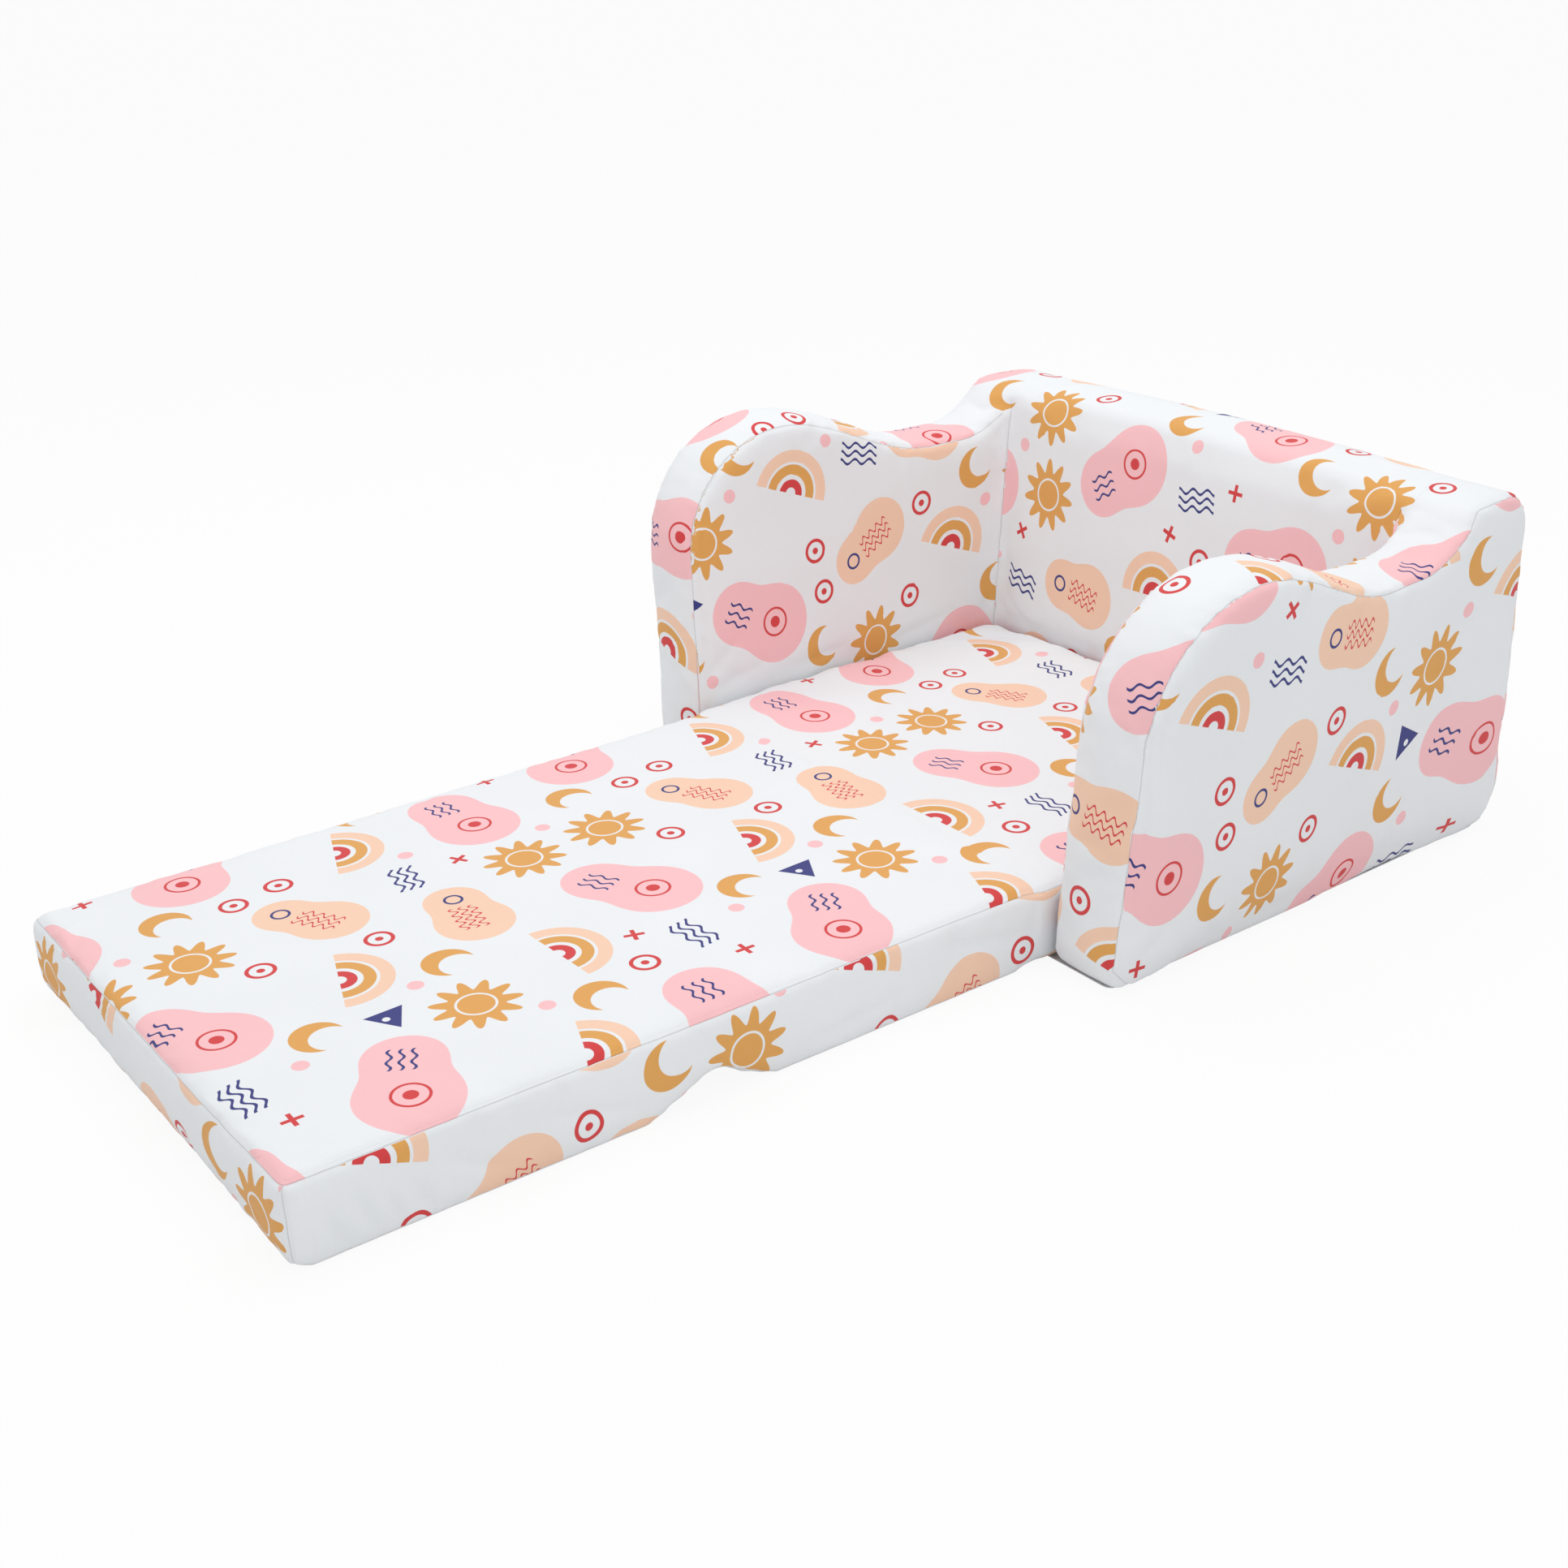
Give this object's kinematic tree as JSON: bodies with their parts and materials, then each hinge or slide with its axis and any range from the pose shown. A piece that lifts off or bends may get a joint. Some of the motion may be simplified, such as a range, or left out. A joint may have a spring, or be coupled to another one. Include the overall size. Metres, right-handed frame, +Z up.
{
  "type": "kids flip open sofa",
  "caption": "Small low foam sofa for children with wavy arms and a sewn fabric cover, whose seat folds out in a zigzag to make a lounger.",
  "frame": {"origin": "on the floor, under the middle of the opened-out sofa's length and width", "axes": "+Z up, the opened mattress runs out towards -Y, +X to the right of a person who looks at the back along +Y"},
  "size_m": [0.7932, 1.314, 0.375],
  "materials": {
    "print_cloth": "smooth brushed polyester, matte, with a printed pattern on white",
    "base_cloth": "plain woven lining cloth, matte",
    "foam": "open-cell polyurethane foam under the cover",
    "zip_cloth": "woven zip tape",
    "zip_plastic": "moulded coil",
    "zip_metal": "satin"
  },
  "bodies": {
    "sofa": {"back_foam": "foam", "left_arm_foam": "foam", "right_arm_foam": "foam", "seat_foam": "foam", "left_outer_panel": "print_cloth", "right_outer_panel": "print_cloth", "left_arm_band": "print_cloth", "right_arm_band": "print_cloth", "left_inner_panel": "print_cloth", "right_inner_panel": "print_cloth", "backrest_panel": "print_cloth", "back_cover_panel": "print_cloth", "back_hem_panel": "print_cloth", "seat_top_panel": "print_cloth", "seat_left_band": "print_cloth", "seat_right_band": "print_cloth", "base_cloth": "base_cloth", "zip_tape_lower": "zip_cloth", "zip_tape_upper": "zip_cloth", "zip_chain": "zip_plastic", "zip_stop_left": "zip_metal", "zip_stop_right": "zip_metal"},
    "zip_slider": {"zip_slider": "zip_metal"},
    "middle_panel": {"middle_foam": "foam", "middle_top_panel": "print_cloth", "middle_left_band": "print_cloth", "middle_right_band": "print_cloth", "middle_base_cloth": "base_cloth"},
    "end_panel": {"end_foam": "foam", "end_top_panel": "print_cloth", "end_front_band": "print_cloth", "end_left_band": "print_cloth", "end_right_band": "print_cloth", "end_base_cloth": "base_cloth"}
  },
  "joints": [
    {"name": "middle_flip", "type": "hinge", "parent": "sofa", "child": "middle_panel", "pos_m": [0, 0.086, 0.0865], "axis": [-1, 0, 0], "range_deg": [0, 179.5]},
    {"name": "end_fold", "type": "hinge", "parent": "middle_panel", "child": "end_panel", "pos_m": [0, -0.269, -0.0005], "axis": [1, 0, 0], "range_deg": [0, 179.5]},
    {"name": "zip_slide", "type": "slide", "parent": "sofa", "child": "zip_slider", "axis": [-1, 0, 0], "range_m": [0, 0.638]}
  ],
  "couplings": [
    {"joint": "end_fold", "follows": "middle_flip", "ratio": 1}
  ]
}
